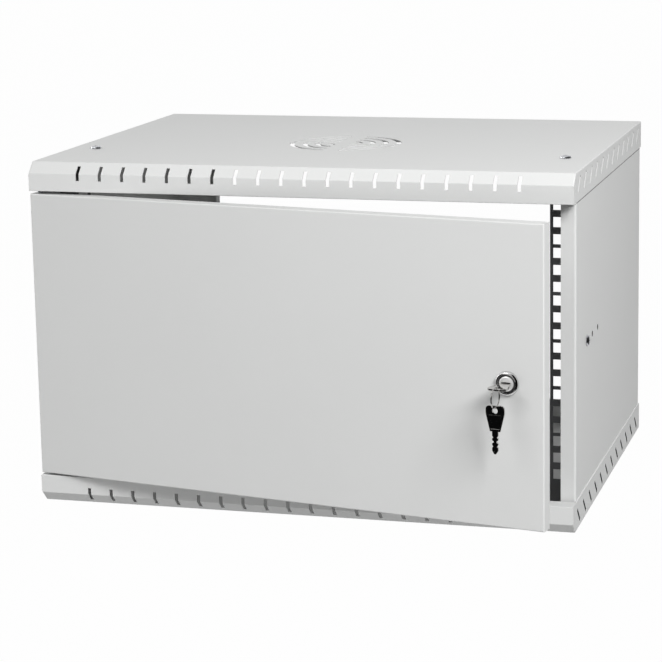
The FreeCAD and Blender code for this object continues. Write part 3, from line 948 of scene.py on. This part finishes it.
# ---- Lock
def lock_place(lock: Mapping[str, Sequence[float]]) -> Matrix:
    """Finds the lock's own axes at rest: x to the right on the door, y into the cabinet, z up.

    Args:
        lock: The joint that the lock turns on.

    Returns:
        Matrix from these axes to the frame.
    """
    inward, up = Vector(lock["axis"]).normalized(), Vector((0, 0, 1))
    turn = Matrix((inward.cross(up).normalized(), inward, up)).transposed().to_4x4()
    return Matrix.Translation(Vector(lock["pos_m"])) @ turn


@dataclass
class CamLock:
    """Rosette, threaded barrel, plug, nut, cam and the cam's screw."""

    shop: Workshop
    place: Matrix
    rosette_radius: float = 11.0 * MM
    rosette_height: float = 3.0 * MM
    rosette_crest: float = 9.0 * MM
    crest_lip: float = 0.4 * MM
    foot_share: float = 0.97
    foot_rise: float = 0.08
    lip_share: float = 0.97
    dome_deg: Sequence[int] = range(12, 91, 13)
    well_radius: float = 7.7 * MM
    well_depth: float = 1.7 * MM
    well_ring: float = 0.3 * MM
    well_bevel: float = 0.6
    barrel_radius: float = 9.5 * MM
    barrel_flats: float = 16.4 * MM
    barrel_end: float = 19.7 * MM
    barrel_chamfer: float = 0.6 * MM
    barrel_sunk: float = 0.5 * MM
    thread_from: float = 1.4 * MM
    thread_depth: float = 0.5 * MM
    plug_radius: float = 6.5 * MM
    plug_proud: float = 0.6 * MM
    plug_face: Sequence[Pair] = ((0.0, 0.86), (0.1 * MM, 0.92), (0.45 * MM, 1.0))
    plug_clear: float = 0.06 * MM
    pitch: float = 1.2 * MM
    door_sheet: float = 1.2 * MM
    nut: HexNut = HexNut(12.0 * MM, 4.0 * MM, 9.5 * MM, 1.2 * MM, 72)
    keyway: Triple = (5.72 * MM, 20.3 * MM, 1.92 * MM)
    keyway_mouth: Triple = (8.6 * MM, 6.0 * MM, 3.4 * MM)
    cam_front: float = 20.0 * MM
    cam_sheet: float = 2.0 * MM
    cam_square: float = 7.0 * MM
    cam_overlap: float = 0.2 * MM
    cam_screw: PanHead = PanHead(4.6 * MM, 2.2 * MM, 2.0 * MM, 2.3 * MM, 0.7 * MM)
    steps: int = 72

    def build(self) -> None:
        """Builds the lock and dresses its cam."""
        here, make = self.place, self.shop.piece
        nut = here @ Matrix.Translation((0, self.door_sheet, 0))
        back = Matrix.Translation((0, self.cam_front + self.cam_sheet, 0)) @ Matrix.Rotation(math.pi, 4, "Z")
        make("lock_housing", self._housing(), Finish.CHROME, "door", "lock_chrome", ("lock_body",), here)
        # A dark ring that paints the shade of the well round the plug.
        make("lock_well_shade_ring", self._well(), Finish.WELL_SHADE, "door", "lock_chrome", (), here)
        make("lock_plug_turned", self._plug(), Finish.SATIN, "plug", "lock_chrome", ("lock_plug",), here)
        make("lock_nut_tapped", self.nut.mesh(), Finish.ZINC, "door", "zinc_steel", ("lock_nut",), nut)
        make("cam_screw_crossed", self.cam_screw.mesh(), Finish.ZINC, "plug", "zinc_steel", ("cam_screw",),
             here @ back)
        self.shop.dress(("lock_cam",), Finish.ZINC)

    def _housing(self) -> Mesh:
        """Turns the domed rosette and the threaded barrel with its two flats.

        Returns:
            The housing's mesh.
        """
        bore, rim, crest = self.plug_radius + self.plug_clear, self.rosette_radius, self.rosette_crest
        top, well = -self.rosette_height, -self.rosette_height + self.well_depth
        end, wide, sunk = self.barrel_end, self.barrel_radius, self.barrel_sunk
        dome = [(top * math.sin(angle), crest + (rim - crest) * math.cos(angle))
                for angle in map(math.radians, self.dome_deg)]
        foot = [(sunk, bore), (0.0, rim * self.foot_share), (top * self.foot_rise, rim)]
        lip = [(top * self.lip_share, crest - self.crest_lip), (well, self.well_radius), (well, bore)]
        rosette = ring(foot + dome + lip, self.steps)
        screwed = thread(self.thread_from, end - self.pitch, wide, self.pitch, self.thread_depth)
        barrel = ring([(-sunk, bore), (-sunk, wide)] + screwed
                      + [(end, wide - self.barrel_chamfer), (end, bore)], self.steps)
        flats = slab((wide * 3, end * 3, self.barrel_flats))
        return combine(rosette, combine(barrel, flats, Joining.COMMON), Joining.ADD)

    def _well(self) -> Mesh:
        """Turns a dark ring at the bottom of the rosette's well, round the plug, as painted shade in the
        recess.

        Returns:
            The ring's mesh.
        """
        floor = -self.rosette_height + self.well_depth
        inner, outer, thick = self.plug_radius + 2 * self.plug_clear, self.well_radius, self.well_ring
        return ring([(floor, inner), (floor, outer), (floor - thick * self.well_bevel, outer),
                     (floor - thick, outer - thick), (floor - thick, inner)], self.steps)

    def _plug(self) -> Mesh:
        """Turns the plug, cuts its keyway with a wider mouth and adds the cam's square.

        Returns:
            The plug's mesh.
        """
        front, radius, end = -self.rosette_height - self.plug_proud, self.plug_radius, self.cam_front
        face = [(front + back, radius * share) for back, share in self.plug_face]
        shape = lathe([(front, 0.0)] + face + [(end, radius), (end, 0.0)], self.steps)
        for wide, deep, high in (self.keyway, self.keyway_mouth):
            shape = combine(shape, slab((wide, deep * 2, high), (0, front, 0)))
        square = slab((self.cam_square, self.cam_sheet + 2 * self.cam_overlap, self.cam_square),
                      (0, end + self.cam_sheet / 2 - self.cam_overlap, 0))
        return combine(shape, square, Joining.ADD)


# ---- Keys
@dataclass(frozen=True)
class FlatKey:
    """A stamped key, its bow's end at the origin, its tip along +Y and its flat sides facing Z."""

    sheet: float = 1.8 * MM
    bow: float = 23.0 * MM
    bow_width: float = 18.0 * MM
    bow_taper: float = 0.9 * MM
    bow_widest: float = 5.75 * MM
    bow_corner: float = 2.6 * MM
    corner_segments: int = 5
    neck_width: float = 9.5 * MM
    blade: float = 20.0 * MM
    blade_width: float = 5.6 * MM
    tip_length: float = 1.15
    tip_width: float = 0.3
    hole_radius: float = 2.6 * MM
    hole_wall: float = 2.0 * MM
    hole_steps: int = 36
    edge: float = 0.22 * MM
    edge_deg: float = 70.0
    panel_depth: float = 0.22 * MM
    panel_edge: float = 0.12 * MM
    panel_edge_deg: float = 80.0
    panel_inset: float = 2.0 * MM
    panel_from_hole: float = 1.2 * MM
    panel_from_neck: float = 2.2 * MM
    panel_narrows: float = 0.58
    groove_width: float = 1.5 * MM
    groove_depth: float = 0.3 * MM
    groove_share: float = 0.92
    groove_aside: float = 0.16
    past: float = 1.0 * MM
    first_cut: float = 5.0 * MM
    cut_pitch: float = 4.0 * MM
    cut_slope: float = 2.2 * MM
    cut_floor: float = 0.2
    cut_depths: Sequence[float] = (0.84 * MM, 1.4 * MM, 0.84 * MM)

    def mesh(self) -> Mesh:
        """Builds the key.

        Returns:
            Its mesh: a bow with a sunk plain panel on each side, a grooved blade and its bitting.
        """
        hole = lathe([(-self.sheet, 0.0), (-self.sheet, self.hole_radius), (self.sheet, self.hole_radius),
                      (self.sheet, 0.0)], self.hole_steps)
        place = Matrix.Translation((0, self.hole_wall + self.hole_radius, 0))
        shape = combine(self._blank(), moved(hole, place @ Matrix.Rotation(math.pi / 2, 4, "X")))
        for step, depth in enumerate(self.cut_depths):
            middle = self.bow + self.first_cut + step * self.cut_pitch
            for turn in (0.0, math.pi):
                shape = combine(shape, moved(self._notch(middle, depth), Matrix.Rotation(turn, 4, "Y")))
        for side in (-1, 1):
            for cutter in self._milled(side):
                shape = combine(shape, cutter)
        return shape

    def _blank(self) -> Mesh:
        """Presses out the key's outline and breaks its edges.

        Returns:
            The blank.
        """
        bow, neck, blade = self.bow_width / 2, self.neck_width / 2, self.blade_width / 2
        end = self.bow + self.blade
        half = [(bow - self.bow_taper, 0.0), (bow, self.bow_widest), (neck, self.bow), (blade, self.bow),
                (blade, end - blade * self.tip_length), (blade * self.tip_width, end)]
        shape = bmesh.new()
        corners = [shape.verts.new((x, y, -self.sheet / 2)) for x, y in half]
        corners += [shape.verts.new((-x, y, -self.sheet / 2)) for x, y in reversed(half)]
        shape.faces.new(corners)
        rounded = [vert for vert in corners if vert.co.y < self.bow_widest + self.bow_corner]
        bevel(shape, rounded, self.bow_corner, self.corner_segments, "VERTICES")
        grow(shape, (0, 0, self.sheet))
        bmesh.ops.recalc_face_normals(shape, faces=shape.faces)
        return soften(shape, self.edge, self.edge_deg)

    def _notch(self, middle: float, depth: float) -> Mesh:
        """One cut of the bitting.

        Args:
            middle: Where it is, from the bow's end.
            depth: How deep it goes.

        Returns:
            The cutter, which narrows to the cut's floor.
        """
        edge = self.blade_width / 2
        tool = slab((depth + self.past, 2 * self.cut_slope, self.sheet * 2),
                    (edge + (self.past - depth) / 2, middle, 0))
        bottom = [vert for vert in tool.verts if vert.co.x < edge]
        bmesh.ops.scale(tool, verts=bottom, vec=(1.0, self.cut_floor, 1.0),
                        space=Matrix.Translation((0, -middle, 0)))
        return tool

    def _milled(self, side: int) -> Iterator[Mesh]:
        """What is sunk into one side: the groove along the blade and the bow's shallow plain panel.

        Args:
            side: 1 for the upper side, -1 for the lower.

        Yields:
            Each cutter.
        """
        face, length = side * self.sheet / 2, self.blade * self.groove_share
        yield slab((self.groove_width, length, self.groove_depth * 2),
                   (-self.blade_width * self.groove_aside, self.bow + length / 2 - self.past, face))
        start = self.hole_wall + 2 * self.hole_radius + self.panel_from_hole
        end = self.bow - self.panel_from_neck
        panel = slab((self.bow_width - 2 * self.panel_inset, end - start, self.panel_depth * 2),
                     (0, (start + end) / 2, face))
        narrow = [vert for vert in panel.verts if vert.co.y > (start + end) / 2]
        bmesh.ops.scale(panel, verts=narrow, vec=(self.panel_narrows, 1.0, 1.0))
        yield soften(panel, self.panel_edge, self.panel_edge_deg)


@dataclass
class KeySet:
    """Key in the lock, split ring and spare key, the ring's middle and lowest point in the lock's axes."""

    shop: Workshop
    place: Matrix
    ring_centre: Vector
    ring_bottom: Vector
    key: FlatKey = FlatKey()
    bow_end: float = -26.9 * MM
    ring_radius: float = 9.0 * MM
    ring_wire: float = 0.6 * MM
    ring_turns: float = 1.96
    ring_steps: int = 72
    hang_clear: float = 0.15 * MM

    def build(self) -> None:
        """Builds both keys and the ring."""
        here, make, wire = self.place, self.shop.piece, self.ring_wire
        make("key_fitted", self.key.mesh(), Finish.NICKEL, "key", "key_nickel", ("key_in_lock",),
             here @ Matrix.Translation((0, self.bow_end, 0)))
        wound = coil(self.ring_radius, wire / 2, self.ring_turns, wire * self.ring_turns, self.ring_steps)
        make("split_ring", wound, Finish.NICKEL, "ring", "key_nickel", ("key_ring",),
             here @ Matrix.Translation(self.ring_centre))
        rise = wire + self.hang_clear + self.key.hole_wall
        hang = Matrix.Translation(self.ring_bottom + Vector((0, 0, rise)))
        make("spare_key_hung", self.key.mesh(), Finish.NICKEL, "spare", "key_nickel", ("spare_key",),
             here @ hang @ Matrix.Rotation(-math.pi / 2, 4, "X"))


# ---- Studio
@dataclass(frozen=True)
class SoftBox:
    """One rectangular studio lamp."""

    name: str
    at: Triple
    size: Pair
    watts: float
    in_metal: bool = True

    def build(self, target: Vector) -> None:
        """Hangs the lamp and turns it to a point.

        Args:
            target: The point that it faces.
        """
        lamp = bpy.data.lights.new(self.name, "AREA")
        lamp.shape = "RECTANGLE"
        lamp.size, lamp.size_y = self.size
        lamp.energy = self.watts
        stand = bpy.data.objects.new(self.name, lamp)
        stand.location = self.at
        stand.rotation_euler = (target - Vector(self.at)).to_track_quat("-Z", "Y").to_euler()
        stand.visible_glossy = self.in_metal
        bpy.context.scene.collection.objects.link(stand)


@dataclass(frozen=True)
class DarkCurtain:
    """A dark cloth round part of the studio, seen only in what the metal reflects."""

    name: str
    from_deg: float
    to_deg: float
    high: float
    low: float = -0.88
    apron: float = 1.2
    radius: float = 3.2
    steps: int = 36
    colour: Colour = (0.012, 0.012, 0.013)
    fading: float = 0.6
    fold_cells: float = 30.0
    roughness: float = 0.9

    def build(self) -> None:
        """Hangs the curtain in an arc round the object."""
        shape = bmesh.new()
        line = [shape.verts.new((0.0, -out, level)) for out, level in
                ((self.apron, self.low), (self.radius, self.low), (self.radius, self.high))]
        for pair in zip(line, line[1:]):
            shape.edges.new(pair)
        start = Matrix.Rotation(math.radians(self.from_deg), 4, "Z")
        bmesh.ops.transform(shape, matrix=start, verts=shape.verts)
        bmesh.ops.spin(shape, geom=list(shape.verts) + list(shape.edges), cent=(0, 0, 0), axis=(0, 0, 1),
                       angle=math.radians(self.to_deg - self.from_deg), steps=self.steps)
        curtain = as_object(self.name, shape)
        material, sheet = new_material(self.name + "_cloth")
        faded = tuple(value * self.fading for value in self.colour)
        sheet.surface(sheet.node("ShaderNodeBsdfPrincipled", {
            "Base Color": sheet.tint(faded, self.colour, sheet.noise(self.fold_cells)),
            "Roughness": self.roughness, "Specular IOR Level": 0.0}))
        curtain.data.materials.append(material)
        curtain.visible_camera = curtain.visible_diffuse = curtain.visible_shadow = False
        curtain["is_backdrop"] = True


@dataclass
class Studio:
    """Floor, surroundings and lamps."""

    lamps: Sequence[SoftBox] = (
        SoftBox("key_box", (1.50, -1.78, 1.45), (1.2, 1.0), 69.0, False),
        SoftBox("left_box", (-1.10, -1.95, 1.50), (1.0, 1.0), 9.0),
        SoftBox("low_box", (-0.70, -2.30, -0.40), (0.9, 0.7), 5.5, False),
        SoftBox("side_box", (-2.40, 0.30, 0.50), (1.2, 1.0), 22.0),
        SoftBox("rear_box", (-0.30, 2.30, 1.30), (1.4, 1.4), 13.0, False),
    )
    curtains: Sequence[DarkCurtain] = (
        DarkCurtain("low_curtain", -75.0, 2.0, 0.70),
        DarkCurtain("tall_curtain", 2.0, 125.0, 6.0),
        DarkCurtain("side_curtain", 125.0, 150.0, 0.30),
    )
    ambient: float = 0.16
    floor_size: float = 80.0
    floor_drop: float = 0.75
    floor_grey: float = 0.50
    floor_white: float = 0.985
    floor_wear: float = 0.98
    floor_cells: float = 3.0
    floor_roughness: float = 0.7

    def build(self) -> None:
        """Sets up everything round the object."""
        bpy.context.scene.view_settings.view_transform = "Standard"
        low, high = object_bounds()
        self._floor(low.z - self.floor_drop)
        self._world()
        for lamp in self.lamps:
            lamp.build((low + high) / 2)
        for curtain in self.curtains:
            curtain.build()
        LOG.info("studio ready")

    def _floor(self, level: float) -> None:
        """A wide pale floor that takes the object's shadow, white to look at.

        Args:
            level: Its height.
        """
        shape = bmesh.new()
        bmesh.ops.create_grid(shape, x_segments=8, y_segments=8, size=self.floor_size / 2,
                              matrix=Matrix.Translation((0, 0, level)))
        floor = as_object("studio_floor", shape)
        material, sheet = new_material("pale_floor")
        pale = (self.floor_grey,) * 3
        worn = tuple(value * self.floor_wear for value in pale)
        painted = sheet.node("ShaderNodeBsdfPrincipled", {
            "Base Color": sheet.tint(worn, pale, sheet.noise(self.floor_cells, detail=3.0)),
            "Roughness": self.floor_roughness})
        glow = sheet.node("ShaderNodeEmission", {"Color": WHITE, "Strength": 1.0})
        white = sheet.seen() * self.floor_white
        sheet.surface(sheet.node("ShaderNodeMixShader", {0: white, 1: painted, 2: glow}))
        floor.data.materials.append(material)
        floor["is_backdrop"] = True

    def _world(self) -> None:
        """White to look at, an even grey as a light."""
        world = bpy.data.worlds.new("studio")
        world.use_nodes = True
        sheet = NodeSheet(world.node_tree, "ShaderNodeOutputWorld")
        lit = sheet.node("ShaderNodeBackground", {"Color": WHITE, "Strength": self.ambient})
        shown = sheet.node("ShaderNodeBackground", {"Color": WHITE, "Strength": 1.0})
        sheet.surface(sheet.node("ShaderNodeMixShader", {0: sheet.seen(), 1: lit, 2: shown}))
        bpy.context.scene.world = world


@dataclass(frozen=True)
class Viewpoint:
    """The main camera: where it stands, how it is turned, and its lens."""

    at: Triple = (0.60380, -2.34359, 0.44849)
    azimuth_deg: float = 15.456
    elevation_deg: float = 10.739
    roll_deg: float = -0.922
    lens_mm: float = 122.914
    sensor_mm: float = 36.0
    shift: Pair = (-0.05, -0.08)
    clip: Pair = (0.05, 200.0)

    def build(self) -> None:
        """Makes the camera and hands it to the scene."""
        lens = bpy.data.cameras.new("main_view")
        lens.sensor_width = self.sensor_mm
        lens.lens = self.lens_mm
        lens.shift_x, lens.shift_y = self.shift
        lens.clip_start, lens.clip_end = self.clip
        a, e = math.radians(self.azimuth_deg), math.radians(self.elevation_deg)
        back = Vector((math.sin(a) * math.cos(e), -math.cos(a) * math.cos(e), math.sin(e)))
        right = Vector((0, 0, 1)).cross(back).normalized()
        turn = Matrix((right, back.cross(right), back)).transposed()
        rolled = turn @ Matrix.Rotation(math.radians(self.roll_deg), 3, "Z")
        stand = bpy.data.objects.new("main_view", lens)
        stand.matrix_world = Matrix.Translation(self.at) @ rolled.to_4x4()
        bpy.context.scene.collection.objects.link(stand)
        bpy.context.scene.camera = stand


def main() -> None:
    """Builds the cabinet's looks in order."""
    logging.basicConfig(level=logging.INFO, format="%(message)s")
    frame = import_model()
    shop = Workshop(frame["nodes"])
    Shell(shop).build()
    Door(shop).build()
    joints = {joint["name"]: joint for joint in frame["joints"]}
    place = lock_place(joints["lock_turn"])
    CamLock(shop, place).build()
    inside = place.inverted()
    centre, bottom = (inside @ Vector(joints[name]["pos_m"]) for name in ("ring_swing", "spare_key_swing"))
    KeySet(shop, place, centre, bottom).build()
    Studio().build()
    Viewpoint().build()


if __name__ == "__main__":
    main()
